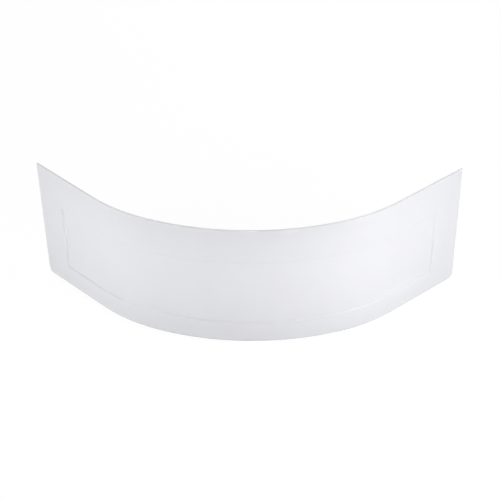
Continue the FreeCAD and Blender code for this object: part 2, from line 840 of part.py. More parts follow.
def prism(body, name, outline, low, height):
    """Pad a flat outline upward from a height above the floor."""
    sketch = body_sketch(body, name, "XY_Plane")
    sketch.AttachmentOffset = Placement(Vector(0, 0, 1), Rotation())
    bind(sketch, AttachmentOffset__Base__z=low)
    draw_polygon(sketch, outline)
    feature = body.newObject("PartDesign::Pad", f"{sketch.Name}_pad")
    feature.Profile = sketch
    bind(feature, Length=height)
    return feature


def make_foot_nut(doc, name, station):
    """Hexagon nut welded to the bracket's shelf."""
    x, y, turn = station
    body = doc.addObject("PartDesign::Body", name)
    prism(body, "hexagon", hexagon("Sizes.nut_flats", STUD_Y), NUT_LOW, "Sizes.nut_height")
    bore = body_sketch(body, "bore", "XY_Plane")
    draw_circle(bore, "0", STUD_Y, "Sizes.stud_diameter / 2 + Sizes.running_clearance")
    pocket(body, bore)
    place(body, x, f"{y} + {FRONT}", turn=turn)
    return body


def axis_sketch(body, name, outline):
    """Sketch in the upright plane through the stud's axis; the outline gives radius and height."""
    sketch = body_sketch(body, name, "XZ_Plane")
    sketch.AttachmentOffset = Placement(Vector(0, 0, 1), Rotation())
    bind(sketch, AttachmentOffset__Base__z=f"-{STUD_Y}")
    draw_polygon(sketch, outline)
    return sketch


def turned_body(doc, name, outline):
    """Body turned about the stud's axis."""
    body = doc.addObject("PartDesign::Body", name)
    sketch = axis_sketch(body, "section", outline)
    turned = body.newObject("PartDesign::Revolution", f"{name}_turned")
    turned.Profile = sketch
    turned.ReferenceAxis = (sketch, ["V_Axis"])
    turned.Angle = 360
    return body


def make_foot_stud(doc, name, station):
    """Threaded stud with a spanner collar and a grooved end that snaps into the pad."""
    x, y, turn = station
    radius = "Sizes.stud_diameter / 2"
    groove = f"{radius} - Sizes.snap_depth"
    low = "(Sizes.pad_base + Sizes.running_clearance)"
    groove_low = f"({low} + Sizes.snap_head)"
    groove_top = f"({groove_low} + Sizes.snap_width + 2 * Sizes.running_clearance)"
    top = f"({NUT_LOW} + Sizes.nut_height + Sizes.stud_spare)"
    chamfer = "Sizes.stud_chamfer"
    body = turned_body(
        doc,
        name,
        [
            ("0", low),
            (radius, low),
            (radius, groove_low),
            (groove, groove_low),
            (groove, groove_top),
            (radius, groove_top),
            (radius, f"{top} - {chamfer}"),
            (f"{radius} - {chamfer}", top),
            ("0", top),
        ],
    )
    collar_low = f"{BOSS_TOP} + 2 * Sizes.running_clearance"
    prism(body, "collar", hexagon("Sizes.collar_flats", STUD_Y), collar_low, "Sizes.collar_height")
    place(body, x, f"{y} + {FRONT}", turn=turn)
    return body


def make_foot_pad(doc, name, station):
    """Round plastic pad with gussets round a socket whose lip snaps into the stud's groove."""
    x, y, turn = station
    bore = "Sizes.stud_diameter / 2 + Sizes.running_clearance"
    lip = "Sizes.stud_diameter / 2 - Sizes.snap_depth + Sizes.running_clearance"
    lip_low = "(Sizes.pad_base + Sizes.snap_head + 2 * Sizes.running_clearance)"
    lip_top = f"({lip_low} + Sizes.snap_width)"
    chamfer = "(Sizes.pad_base - Sizes.pad_rim)"
    body = turned_body(
        doc,
        name,
        [
            ("0", "0"),
            ("Sizes.pad_diameter / 2", "0"),
            ("Sizes.pad_diameter / 2", "Sizes.pad_rim"),
            (f"Sizes.pad_diameter / 2 - {chamfer}", "Sizes.pad_base"),
            ("Sizes.boss_diameter / 2", "Sizes.pad_base"),
            ("Sizes.boss_diameter / 2", BOSS_TOP),
            (bore, BOSS_TOP),
            (bore, lip_top),
            (lip, lip_top),
            (lip, lip_low),
            (bore, lip_low),
            (bore, "Sizes.pad_base"),
            ("0", "Sizes.pad_base"),
        ],
    )
    add_gussets(body)
    place(body, x, f"{y} + {FRONT}", turn=turn)
    return body


def add_gussets(body):
    """Webs that brace a pad's boss, each rooted half its thickness deep in the boss and the base."""
    root = "Sizes.gusset_thickness / 2"
    inner = f"Sizes.boss_diameter / 2 - {root}"
    outer = "Sizes.pad_diameter / 2 - Sizes.gusset_inset"
    sunk = f"Sizes.pad_base - {root}"
    outline = [
        (inner, sunk),
        (outer, sunk),
        (outer, "Sizes.pad_base"),
        (inner, f"{BOSS_TOP} - Sizes.gusset_drop"),
    ]
    sketch = axis_sketch(body, "gusset", outline)
    web = pad(body, sketch, "Sizes.gusset_thickness")
    gussets = body.newObject("PartDesign::PolarPattern", f"{body.Name}_gussets")
    gussets.Originals = [web]
    gussets.Axis = (sketch, ["V_Axis"])
    gussets.Angle = 360
    bind(gussets, Occurrences="Sizes.gusset_count")
    body.Tip = gussets


def make_battens(doc, sizes):
    """Upright timber batten near each end, bedded on the backing of the straight leg."""
    back_depth = sizes["skin_thickness"] + sizes["backing_thickness"] + sizes["batten_depth"]

    def at_back(edge):
        depths = [face_depth(vertex.Point, sizes) for vertex in edge.Vertexes]
        return all(abs(depth - back_depth) < TOUCH for depth in depths)

    section = upright_sketch(doc, "batten_section")
    top = "Sizes.batten_end_gap"
    low = f"{FACE_LENGTH} - Sizes.batten_end_gap"
    back = f"{WALL} + Sizes.batten_depth"
    draw_polygon(
        section,
        [face_point(top, WALL), face_point(low, WALL), face_point(low, back), face_point(top, back)],
    )
    battens = []
    along = "(Sizes.leg_length - Sizes.batten_inset - Sizes.batten_width)"
    for side, sign, start in (
        ("left", -1, f"({along} + Sizes.batten_width)"),
        ("right", 1, along),
    ):
        blank = doc.addObject("Part::Extrusion", f"batten_blank_{side}")
        blank.Base = section
        blank.DirMode = "Custom"
        blank.Dir = Vector(1, 0, 0)
        blank.Solid = True
        bind(blank, LengthFwd="Sizes.batten_width")
        place(
            blank,
            f"{sign} * ({LEG_X} + {start} * cos(Sizes.corner_half_angle))",
            f"{LEG_Y} + {start} * sin(Sizes.corner_half_angle)",
            turn=f"{sign} * Sizes.corner_half_angle",
        )
        doc.recompute()
        cut = sizes["timber_chamfer"]
        batten = doc.addObject("Part::Chamfer", f"end_batten_{side}")
        batten.Base = blank
        batten.Edges = [(index, cut, cut) for index in edges_where(blank.Shape, at_back)]
        place(batten, y=FRONT)
        battens.append(batten)
    return battens


def make_station(doc, wall_tool, name, station):
    """Everything fixed at one station: hanger above, levelling foot below."""
    screw_height = f"({UPRIGHT_TOP} - Sizes.screw_edge)"
    plate_back = (
        f"({HANGER_SEAT} + 2 * Sizes.slide_clearance + Sizes.plate_thickness)"
    )
    bracket_back = f"({FOOT_SEAT} + Sizes.bracket_thickness)"
    return [
        make_block(
            doc,
            f"hanger_block_{name}",
            wall_tool,
            station,
            HANGER_LOW,
            HANGER_TOP,
            HANGER_SEAT,
            HANGER_MIDDLE,
        ),
        make_hanger_plate(doc, f"hanger_plate_{name}", station),
        make_screws(doc, f"hanger_screws_{name}", station, plate_back, HANGER_MIDDLE),
        make_block(
            doc,
            f"foot_block_{name}",
            wall_tool,
            station,
            FOOT_LOW,
            FOOT_TOP,
            FOOT_SEAT,
            screw_height,
        ),
        make_foot_bracket(doc, f"foot_bracket_{name}", station),
        make_screws(doc, f"foot_screws_{name}", station, bracket_back, screw_height),
        make_foot_nut(doc, f"foot_nut_{name}", station),
        make_foot_stud(doc, f"foot_stud_{name}", station),
        make_foot_pad(doc, f"foot_pad_{name}", station),
    ]


def check(doc, pieces):
    """Stop if anything failed to build or a piece has no valid solid."""
    for item in doc.Objects:
        if "Invalid" in item.State or "Error" in item.State:
            raise RuntimeError(f"{item.Name} failed: {item.State}")
    for piece in pieces:
        shape = piece.Shape
        if shape.isNull() or not shape.isValid() or not shape.Solids:
            raise RuntimeError(f"{piece.Label} has no valid solid")


def main():
    doc = FreeCAD.newDocument("bath_front_panel")
    sheet = make_sheet(doc)
    sizes = {alias: float(sheet.get(alias)) for alias in SIZES}
    pieces = make_shell(doc, sizes)
    pieces += make_battens(doc, sizes)
    wall_tool = make_wall_tool(doc)
    for name, *station in stations():
        pieces += make_station(doc, wall_tool, name, station)
    doc.recompute()
    check(doc, pieces)
    os.makedirs("parts", exist_ok=True)
    for piece in pieces:
        piece.Shape.exportStep(f"parts/{piece.Label}.step")
        print(piece.Label, len(piece.Shape.Solids), round(piece.Shape.Volume))


main()
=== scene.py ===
"""Looks of the corner bath front panel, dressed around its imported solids.

Metres, in the frame of the solids: +Z is up, +X runs along the chord of the curve and
the show face looks towards -Y. The panel stands on Z = 0.
"""

import bmesh
import bpy
import json
import math
from mathutils import Matrix, Vector, noise


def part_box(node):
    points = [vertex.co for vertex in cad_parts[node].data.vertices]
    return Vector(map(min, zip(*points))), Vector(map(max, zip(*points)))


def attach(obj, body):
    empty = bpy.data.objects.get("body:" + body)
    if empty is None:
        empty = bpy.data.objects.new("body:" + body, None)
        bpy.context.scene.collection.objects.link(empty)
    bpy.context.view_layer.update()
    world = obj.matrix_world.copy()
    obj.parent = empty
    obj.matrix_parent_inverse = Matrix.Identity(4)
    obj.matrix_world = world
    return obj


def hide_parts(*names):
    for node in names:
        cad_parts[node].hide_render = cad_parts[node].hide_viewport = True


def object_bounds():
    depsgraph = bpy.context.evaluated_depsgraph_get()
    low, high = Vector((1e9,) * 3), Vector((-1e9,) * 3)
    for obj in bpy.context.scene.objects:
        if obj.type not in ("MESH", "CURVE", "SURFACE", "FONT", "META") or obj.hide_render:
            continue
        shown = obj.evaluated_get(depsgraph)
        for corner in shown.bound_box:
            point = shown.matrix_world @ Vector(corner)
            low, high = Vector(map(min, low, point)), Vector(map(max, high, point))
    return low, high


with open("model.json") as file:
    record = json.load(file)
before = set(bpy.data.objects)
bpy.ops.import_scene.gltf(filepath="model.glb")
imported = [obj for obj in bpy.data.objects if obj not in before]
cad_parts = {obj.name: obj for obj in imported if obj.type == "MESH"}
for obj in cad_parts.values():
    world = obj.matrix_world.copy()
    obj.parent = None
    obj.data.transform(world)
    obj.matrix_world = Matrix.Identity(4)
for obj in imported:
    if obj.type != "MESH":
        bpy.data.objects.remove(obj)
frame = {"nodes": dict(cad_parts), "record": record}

CAD_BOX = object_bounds()
FRONT = CAD_BOX[0][1]
HEIGHT = CAD_BOX[1][2]

# Plan of the show face at the top edge: crown, two shoulders and two straight legs
CROWN = 1.105
SHOULDER = 0.770
LEG = 0.400
CROWN_HALF = math.radians(22)
CORNER_HALF = math.radians(45)

# Upright section of the shell
SETBACK = 0.026
SKIN = 0.004
BACKING = 0.003
ROLL = 0.020
FLANGE = 0.022
EDGE_ROUND = 0.0008
END_CORNER = 0.036
END_BAND = 0.080

# Recessed field in the show face, with walls at 45 degrees and a steeper one at its top
FIELD_DROP = 0.172
FIELD_RISE = 0.108
FIELD_MARGIN = 0.153
FIELD_DEPTH = 0.006
TOP_WALL_SLOPE = 1.8
FIELD_ROUND = 0.004
FIELD_CORNER = 0.009
CREASE_ROUND = 0.0012

# Steps of the two sheets' meshes: fine on both sides of the recess's rim and in a hem, else coarse
SKIN_FINE = 0.0008
SKIN_COARSE = 0.020
FIBRE_FINE = 0.002
FIBRE_COARSE = 0.012
FINE_INSIDE = 2.2 * FIELD_DEPTH
FINE_OUTSIDE = FINE_INSIDE / 2
HEM = 2 * EDGE_ROUND
HEM_STEP = EDGE_ROUND / 3

# Uneven hand-laid fibre: waves in a metre and height, broad and close
BROAD_WAVES = 9
BROAD_HEIGHT = 0.0004
CLOSE_WAVES = 34
CLOSE_HEIGHT = 0.0003

# Timber and the resin that beds it
PLY = 0.0017
TIMBER_CHAMFER = 0.0015
BLOCK_STEP = 0.010
BEAD = 0.007
BEAD_STEP = 0.006
BEAD_WANDER = 0.35
BEAD_WAVES = 60

# Hexagons: radius of the round end as a share of the flats, and slope of the turned chamfer
ROUND_END = 0.48
TURNED_SLOPE = math.tan(math.radians(30))

# Bore of nut and pad, and the welds that hold the nut
BORE = 0.0051
BORE_MOUTH = 0.0006
WELDS = 3
WELD_START = math.radians(30)
WELD_STEPS = 12
WELD_POINTS = 10
WELD_LENGTH = 0.008
WELD_SPAN = 0.0086
WELD_RADIUS = 0.0022
WELD_RIPPLE = 0.12

# Stud: thread, collar and the plain end inside the pad
STUD_RADIUS = 0.005
STUD_CHAMFER = 0.001
THREAD_PITCH = 0.0015
THREAD_DEPTH = 0.0009
COLLAR_FLATS = 0.013
COLLAR_HEIGHT = 0.006
COLLAR_GAP = 0.0002
COLLAR_CORE = 0.004
PLAIN_END = 0.0042

# Pad: disc with a sloping shoulder, boss and gussets
PAD_BASE = 0.005
PAD_SIDE = 0.003
PAD_ROUND = 0.0008
PAD_SHOULDER = 0.0006
PAD_CREASE = 0.0002
PAD_SLOPE = 0.0026
BOSS = 0.010
BOSS_FILLET = 0.001
BOSS_BEND = 0.3 * BOSS_FILLET
BOSS_DRAFT = 0.0004
GUSSETS = 8
GUSSET_HALF = 0.0009
GUSSET_TAPER = 0.8
GUSSET_ROOT = 0.001
GUSSET_DROP = 0.0015
GUSSET_END = 0.003

# Screw: half its outline, as radius and height above the seat
SCREW_OUTLINE = (
    (0.0002, -0.018),
    (0.0024, -0.013),
    (0.0024, 0.0),
    (0.0053, 0.0),
    (0.0055, 0.0002),
    (0.0055, 0.0007),
    (0.0052, 0.0010),
    (0.0041, 0.0011),
    (0.0040, 0.0014),
    (0.0038, 0.0020),
    (0.0033, 0.0026),
    (0.0025, 0.0030),
)
SCREW_HEAD = SCREW_OUTLINE[-1][1]
SCREW_PITCH = 0.024
SCREW_SHARP = math.radians(28)

# Cross recess: half length and half width of an arm, then height and scale of its floor and mouth
CROSS_ARM = 0.0023
CROSS_HALF = 0.0005
CROSS_FLOOR = (0.0008, 0.5)
CROSS_MOUTH = (0.0034, 1.05)

# Radians the screws were left at: more at each station, at each metre across and at the feet
STATION_TURN = 1.9
PAIR_TURN = 40
FOOT_TURN = 0.7

STATIONS = ("left_outer", "left_inner", "right_inner", "right_outer")
RING_POINTS = 48

LEAN = math.atan(SETBACK / HEIGHT)
ROLL_TURN = math.pi / 2 - LEAN
ROLL_CENTRE = (ROLL + (HEIGHT - ROLL) * math.sin(LEAN)) / math.cos(LEAN)
FACE = HEIGHT / math.cos(LEAN)
FACE_END = (HEIGHT - ROLL + ROLL * math.sin(LEAN)) / math.cos(LEAN)
SECTION_END = FACE_END + ROLL * ROLL_TURN + FLANGE
HALF_LENGTH = CROWN * CROWN_HALF + SHOULDER * (CORNER_HALF - CROWN_HALF) + LEG
FIELD_HALF = HALF_LENGTH - FIELD_MARGIN


class Nodes:
    """A tree of shader nodes, put together by small calls."""

    def __init__(self, tree):
        self.tree = tree

    def plug(self, socket, value):
        """Set a socket to a value, or link a node's output to it."""
        if isinstance(value, bpy.types.NodeSocket):
            self.tree.links.new(value, socket)
        else:
            socket.default_value = value

    def node(self, kind, inputs, output=0, **settings):
        """Add a node and return one of its outputs."""
        made = self.tree.nodes.new(kind)
        for name, value in settings.items():
            setattr(made, name, value)
        for socket, value in inputs.items():
            self.plug(made.inputs[socket], value)
        return made.outputs[output]

    def coordinates(self, kind="Object"):
        return self.node("ShaderNodeTexCoord", {}, output=kind)

    def band(self, value, low, high, to_low=0.0, to_high=1.0):
        """Map one range of a value to another, held at both ends."""
        inputs = {"Value": value, "From Min": low, "From Max": high}
        inputs.update({"To Min": to_low, "To Max": to_high})
        return self.node("ShaderNodeMapRange", inputs)

    def maths(self, operation, first, second=0.0):
        return self.node("ShaderNodeMath", {0: first, 1: second}, operation=operation)


class Surface(Nodes):
    """A material around one Principled shader."""

    def __init__(self, name, **sockets):
        self.material = bpy.data.materials.new(name)
        self.material.use_nodes = True
        super().__init__(self.material.node_tree)
        self.shader = self.tree.nodes["Principled BSDF"]
        self.shade(**sockets)

    def shade(self, **sockets):
        """Set the shader's sockets, named with underscores, to a value or a node's output."""
        for name, value in sockets.items():
            self.plug(self.shader.inputs[name.replace("_", " ")], value)

    def stretched(self, vector, scale, turn=0.0):
        """Coordinates turned about their third axis, then scaled."""
        turned = self.node("ShaderNodeMapping", {"Vector": vector, "Rotation": (0, 0, turn)})
        return self.node("ShaderNodeMapping", {"Vector": turned, "Scale": scale})

    def noise(self, vector, scale, detail=2.0, distortion=0.0):
        inputs = {"Vector": vector, "Scale": scale, "Detail": detail, "Distortion": distortion}
        return self.node("ShaderNodeTexNoise", inputs)

    def tint(self, share, first, second):
        """Blend two colours by a share that varies over the surface."""
        inputs = {"Factor": share, 6: first, 7: second}
        return self.node("ShaderNodeMix", inputs, output=2, data_type="RGBA")

    def bump(self, height, distance, **more):
        return self.node("ShaderNodeBump", {"Height": height, "Distance": distance, **more})

    def worn_edges(self, radius):
        """Rounded normal near edges, and a mask that rises there."""
        rounded = self.node("ShaderNodeBevel", {"Radius": radius})
        true = self.node("ShaderNodeNewGeometry", {}, output="Normal")
        pair = {0: rounded, 1: true}
        dot = self.node("ShaderNodeVectorMath", pair, output="Value", operation="DOT_PRODUCT")
        return rounded, self.band(dot, 0.98, 0.75)


def acrylic():
    """Gloss white sheet with the faint ripple of forming."""
    paint = Surface("gloss_acrylic", IOR=1.49, Coat_Weight=0.35, Coat_Roughness=0.03)
    where = paint.coordinates()
    cloud = paint.noise(where, 3.0, detail=3.0)
    paint.shade(Base_Color=paint.tint(cloud, (0.786, 0.790, 0.824, 1), (0.811, 0.815, 0.847, 1)))
    haze = paint.noise(where, 45.0, detail=6.0)
    paint.shade(Roughness=paint.band(haze, 0.3, 0.7, 0.12, 0.20))
    ripple = paint.noise(where, 11.0, detail=1.0)
    paint.shade(Normal=paint.bump(ripple, 0.0006, Strength=0.35))
    return paint.material


def trimmed_edge():
    """Sawn edge of the panel: paler and duller than its face, with fine saw marks."""
    paint = Surface("trimmed_acrylic", IOR=1.49)
    where = paint.coordinates("UV")
    marks = paint.noise(paint.stretched(where, (900, 25, 1)), 1.0, detail=3.0)
    paint.shade(Base_Color=paint.tint(marks, (0.93, 0.93, 0.95, 1), (0.98, 0.98, 0.99, 1)))
    paint.shade(Roughness=paint.band(marks, 0.3, 0.7, 0.4, 0.65))
    paint.shade(Normal=paint.bump(marks, 0.0002))
    return paint.material


def strands(paint, where, turn, seed):
    """Chopped glass strands that lie one way: thin lines about 40 mm long."""
    shifted = paint.node("ShaderNodeMapping", {"Vector": where, "Location": (seed, seed * 1.7, 0)})
    threads = paint.noise(paint.stretched(shifted, (22, 900, 1), turn), 1.0, detail=1.0)
    return paint.band(threads, 0.60, 0.70)


def glass_fibre():
    """Laid-up chopped strand mat in cloudy resin."""
    paint = Surface("glass_fibre", IOR=1.52, Coat_Weight=0.25, Coat_Roughness=0.18)
    where = paint.coordinates("UV")
    mat = strands(paint, where, turn=0.3, seed=0.0)
    for count in range(1, 8):
        more = strands(paint, where, turn=0.3 + 0.41 * count, seed=3.1 * count)
        mat = paint.maths("MAXIMUM", mat, more)
    resin = paint.noise(where, 14.0, detail=5.0)
    ground = paint.tint(resin, (0.46, 0.43, 0.33, 1), (0.64, 0.61, 0.50, 1))
    shown = paint.maths("MULTIPLY", mat, 0.5)
    paint.shade(Base_Color=paint.tint(shown, ground, (0.78, 0.76, 0.68, 1)))
    paint.shade(Roughness=paint.band(resin, 0.3, 0.7, 0.30, 0.62))
    lumps = paint.bump(paint.noise(where, 60.0, detail=4.0), 0.0012, Strength=0.7)
    paint.shade(Normal=paint.bump(mat, 0.0007, Strength=0.8, Normal=lumps))
    return paint.material


def resin_bead():
    """Filled resin that beds the timber: opaque, lumpy, slightly glossy."""
    paint = Surface("resin_bead", IOR=1.52, Coat_Weight=0.3, Coat_Roughness=0.15)
    where = paint.coordinates()
    lumps = paint.noise(where, 130.0, detail=4.0)
    paint.shade(Base_Color=paint.tint(lumps, (0.50, 0.47, 0.37, 1), (0.68, 0.65, 0.55, 1)))
    paint.shade(Roughness=paint.band(lumps, 0.3, 0.7, 0.3, 0.55))
    paint.shade(Normal=paint.bump(lumps, 0.0008))
    return paint.material


def plywood():
    """Plies stacked along the block's depth (Y), with face grain along its width (X)."""
    paint = Surface("plywood", IOR=1.45)
    where = paint.coordinates()
    split = paint.node("ShaderNodeSeparateXYZ", {"Vector": where}, output="Y")
    ply = paint.maths("PINGPONG", paint.maths("MULTIPLY", split, 1 / PLY), 1.0)
    grain = paint.noise(paint.stretched(where, (22, 320, 320)), 1.0, detail=4.0, distortion=0.4)
    figure = paint.noise(paint.stretched(where, (5, 60, 45)), 1.0, detail=3.0, distortion=1.6)
    wood = paint.tint(figure, (0.56, 0.36, 0.19, 1), (0.74, 0.54, 0.33, 1))
    wood = paint.tint(paint.band(grain, 0.42, 0.75, 0.0, 0.55), wood, (0.40, 0.24, 0.12, 1))
    layers = paint.tint(paint.band(ply, 0.35, 0.65), (0.46, 0.29, 0.15, 1), (0.76, 0.58, 0.38, 1))
    normal = paint.coordinates("Normal")
    facing = paint.node("ShaderNodeSeparateXYZ", {"Vector": normal}, output="Y")
    on_edge = paint.band(paint.maths("ABSOLUTE", facing), 0.3, 0.8, 0.8, 0.0)
    paint.shade(Base_Color=paint.tint(on_edge, wood, layers))
    paint.shade(Roughness=paint.band(grain, 0.3, 0.7, 0.55, 0.8))
    paint.shade(Normal=paint.bump(grain, 0.0004, Strength=0.7))
    return paint.material


def softwood():
    """Planed batten with grain along its length (Z)."""
    paint = Surface("softwood", IOR=1.45)
    where = paint.coordinates()
    long = paint.stretched(where, (1.0, 1.0, 0.05))
    beside_pith = paint.node("ShaderNodeMapping", {"Vector": long, "Location": (0.012, 0.045, 0)})
    rings = paint.node(
        "ShaderNodeTexWave",
        {
            "Vector": beside_pith,
            "Scale": 85.0,
            "Distortion": 6.0,
            "Detail": 3.0,
            "Detail Scale": 0.25,
        },
        output="Fac",
        wave_type="RINGS",
        rings_direction="Z",
        wave_profile="SAW",
    )
    fibre = paint.noise(paint.stretched(where, (420, 420, 9)), 1.0, detail=3.0)
    wood = paint.tint(rings, (0.74, 0.56, 0.34, 1), (0.60, 0.41, 0.22, 1))
    streak = paint.band(fibre, 0.45, 0.8, 0.0, 0.5)
    paint.shade(Base_Color=paint.tint(streak, wood, (0.42, 0.26, 0.13, 1)))
    paint.shade(Roughness=paint.band(fibre, 0.3, 0.7, 0.5, 0.75))
    paint.shade(Normal=paint.bump(fibre, 0.0003, Strength=0.6))
    return paint.material


def zinc(name, spangle, shine):
    """Bright zinc plate: a faint spangle, rolling lines and edges rubbed brighter."""
    paint = Surface(name, Metallic=1.0)
    where = paint.coordinates()
    cells = paint.node("ShaderNodeTexVoronoi", {"Vector": where, "Scale": spangle}, output="Color")
    cloud = paint.noise(where, 55.0, detail=4.0)
    plate = paint.tint(cloud, (0.50, 0.52, 0.54, 1), (0.66, 0.66, 0.64, 1))
    grey = paint.node("ShaderNodeRGBToBW", {"Color": cells})
    plate = paint.tint(paint.band(grey, 0.2, 0.8, 0.0, 0.35), plate, (0.72, 0.74, 0.77, 1))
    rounded, edge = paint.worn_edges(0.0006)
    rubbed = paint.maths("MULTIPLY", edge, 0.7)
    paint.shade(Base_Color=paint.tint(rubbed, plate, (0.82, 0.82, 0.82, 1)))
    rolled = paint.noise(paint.stretched(where, (900, 900, 30)), 1.0, detail=2.0)
    paint.shade(Roughness=paint.band(rolled, 0.3, 0.7, shine, shine + 0.16))
    paint.shade(Normal=paint.bump(rolled, 0.00006, Strength=0.5, Normal=rounded))
    return paint.material


def weld_metal():
    """Heat-stained bead."""
    paint = Surface("weld_metal", Metallic=1.0)
    stain = paint.noise(paint.coordinates(), 260.0, detail=4.0)
    paint.shade(Base_Color=paint.tint(stain, (0.16, 0.13, 0.11, 1), (0.42, 0.38, 0.34, 1)))
    paint.shade(Roughness=paint.band(stain, 0.3, 0.7, 0.35, 0.6))
    paint.shade(Normal=paint.bump(stain, 0.0002))
    return paint.material


def pad_plastic():
    """Moulded black plastic with a spark-eroded texture, rubbed paler at its edges."""
    paint = Surface("pad_plastic", IOR=1.5)
    where = paint.coordinates()
    spark = paint.noise(where, 1500.0, detail=3.0)
    rounded, edge = paint.worn_edges(0.0005)
    patches = paint.band(paint.noise(where, 180.0), 0.4, 0.6, 0.2, 0.9)
    rubbed = paint.maths("MULTIPLY", edge, patches)
    paint.shade(Base_Color=paint.tint(rubbed, (0.024, 0.024, 0.026, 1), (0.085, 0.085, 0.088, 1)))
    paint.shade(Roughness=paint.band(spark, 0.3, 0.7, 0.42, 0.62))
    paint.shade(Normal=paint.bump(spark, 0.0001, Strength=0.5, Normal=rounded))
    return paint.material


MATERIALS = {
    "acrylic": acrylic(),
    "trimmed": trimmed_edge(),
    "fibre": glass_fibre(),
    "bead": resin_bead(),
    "plywood": plywood(),
    "softwood": softwood(),
    "plate": zinc("zinc_plate", spangle=120.0, shine=0.28),
    "fastener": zinc("zinc_fastener", spangle=420.0, shine=0.22),
    "weld": weld_metal(),
    "plastic": pad_plastic(),
}


class Form:
    """Points and faces of one piece, gathered form by form."""

    def __init__(self):
        self.points = []
        self.faces = []
        self.paints = []

    def add(self, points, faces):
        """Add points, and faces that count from the first of them."""
        first = len(self.points)
        self.points += [Vector(point) for point in points]
        self.join([[first + i for i in face] for face in faces])

    def join(self, faces, paint=0):
        """Add faces between points that are there already."""
        self.faces += faces
        self.paints += [paint] * len(faces)

    def loft(self, rings, closed=False):
        """Skin a run of rings, each the same count of points, and cap its ends unless it closes."""
        count = len(rings[0])
        points = [point for row in rings for point in row]
        faces = []
        pairs = len(rings) if closed else len(rings) - 1
        for i in range(pairs):
            low = i * count
            high = (i + 1) % len(rings) * count
            for j in range(count):
                k = (j + 1) % count
                faces.append([low + j, low + k, high + k, high + j])
        if not closed:
            faces.append(list(reversed(range(count))))
            faces.append([len(points) - count + j for j in range(count)])
        self.add(points, faces)

    def piece(self, name, materials, place=Matrix(), sharp=35.0, sheet=None):
        """Make the object, with normals outward, smooth but for edges sharper than an angle.

        A piece of sheet gives each point's place on the flat sheet; the others are welded.
        """
        mesh = bpy.data.meshes.new(name)
        mesh.from_pydata(self.points, [], self.faces)
        for material in materials:
            mesh.materials.append(MATERIALS[material])
        mesh.polygons.foreach_set("material_index", self.paints)
        work = bmesh.new()
        work.from_mesh(mesh)
        if sheet is None:
            bmesh.ops.remove_doubles(work, verts=work.verts, dist=1e-6)
        bmesh.ops.recalc_face_normals(work, faces=work.faces)
        work.to_mesh(mesh)
        work.free()
        if sheet is not None:
            layer = mesh.uv_layers.new(name="sheet")
            for loop in mesh.loops:
                layer.uv[loop.index].vector = sheet[loop.vertex_index]
        mesh.shade_smooth()
        mesh.set_sharp_from_angle(angle=math.radians(sharp))
        made = bpy.data.objects.new(name, mesh)
        bpy.context.scene.collection.objects.link(made)
        made.matrix_world = place
        return made


def dress(piece, body, slot, *nodes):
    """Let a piece ride on a body and stand for CAD nodes; its slot is not used."""
    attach(piece, body)
    if nodes:
        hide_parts(*nodes)


def ring(radius, height, count=RING_POINTS):
    """Circle of points about the upright axis."""
    steps = (2 * math.pi * i / count for i in range(count))
    return [(radius * math.cos(a), radius * math.sin(a), height) for a in steps]


def plan(s):
    """Point and turn of the top edge at a length along it from the crown's middle."""
    side = math.copysign(1, s)
    along = abs(s)
    crown_end = CROWN * CROWN_HALF
    shoulder_end = crown_end + SHOULDER * (CORNER_HALF - CROWN_HALF)
    pivot_x = (CROWN - SHOULDER) * math.sin(CROWN_HALF)
    pivot_y = CROWN - (CROWN - SHOULDER) * math.cos(CROWN_HALF)
    if along <= crown_end:
        turn = along / CROWN
        x = CROWN * math.sin(turn)
        y = CROWN * (1 - math.cos(turn))
    else:
        turn = CROWN_HALF + (min(along, shoulder_end) - crown_end) / SHOULDER
        beyond = max(along - shoulder_end, 0)
        x = pivot_x + SHOULDER * math.sin(turn) + beyond * math.cos(turn)
        y = pivot_y - SHOULDER * math.cos(turn) + beyond * math.sin(turn)
    return side * x, y + FRONT, side * turn


def section(v, depth):
    """Inward distance and height of a point down the section, at a depth behind its outer face."""
    if v <= FACE_END:
        heel = ROLL - (ROLL - depth) * math.sin(LEAN)
        z = HEIGHT - (HEIGHT - heel) * v / FACE_END
        return (HEIGHT - z) * math.tan(LEAN) + depth / math.cos(LEAN), z
    turned = min((v - FACE_END) / ROLL, ROLL_TURN)
    run = max(v - FACE_END - ROLL * ROLL_TURN, 0)
    angle = math.pi + LEAN + turned
    radius = ROLL - depth
    return ROLL_CENTRE + radius * math.cos(angle) + run, ROLL + radius * math.sin(angle)


def step(q, rim, floor):
    """Depth of the recess at a distance inside its rim: two arcs joined by a 45 degree slope."""
    bend = math.tan(math.pi / 8)
    half = math.sqrt(0.5) - bend
    if q <= -rim * bend:
        return 0.0
    if q < rim * half:
        return rim - math.sqrt(rim**2 - (q + rim * bend) ** 2)
    if q <= FIELD_DEPTH - floor * half:
        return q
    if q < FIELD_DEPTH + floor * bend:
        return FIELD_DEPTH - floor + math.sqrt(floor**2 - (FIELD_DEPTH + floor * bend - q) ** 2)
    return FIELD_DEPTH


def recess(s, v, behind):
    """How far the field pushes in the surface that lies a depth behind the show face."""
    spread = behind * math.tan(math.pi / 8)
    across = FIELD_HALF - abs(s) + spread
    upright = min(TOP_WALL_SLOPE * (v - FIELD_DROP), FACE - FIELD_RISE - v) + spread
    inside = min(across, upright)
    if max(across, upright) < FIELD_CORNER:
        inside = FIELD_CORNER - math.hypot(FIELD_CORNER - across, FIELD_CORNER - upright)
    return step(inside, max(FIELD_ROUND - behind, CREASE_ROUND), FIELD_ROUND + behind)


def lines(low, high, coarse, spans):
    """Positions from low to high, coarse apart, and fine apart inside (start, end, fine) spans."""
    stops = {low, high}
    for start, end, fine in spans:
        count = math.ceil((end - start) / fine)
        stops.update(start + (end - start) * i / count for i in range(count + 1))
    ordered = sorted(stops)
    placed = []
    for start, end in zip(ordered, ordered[1:]):
        count = max(1, math.ceil((end - start) / coarse))
        placed += [start + (end - start) * i / count for i in range(count)]
    return placed + [high]


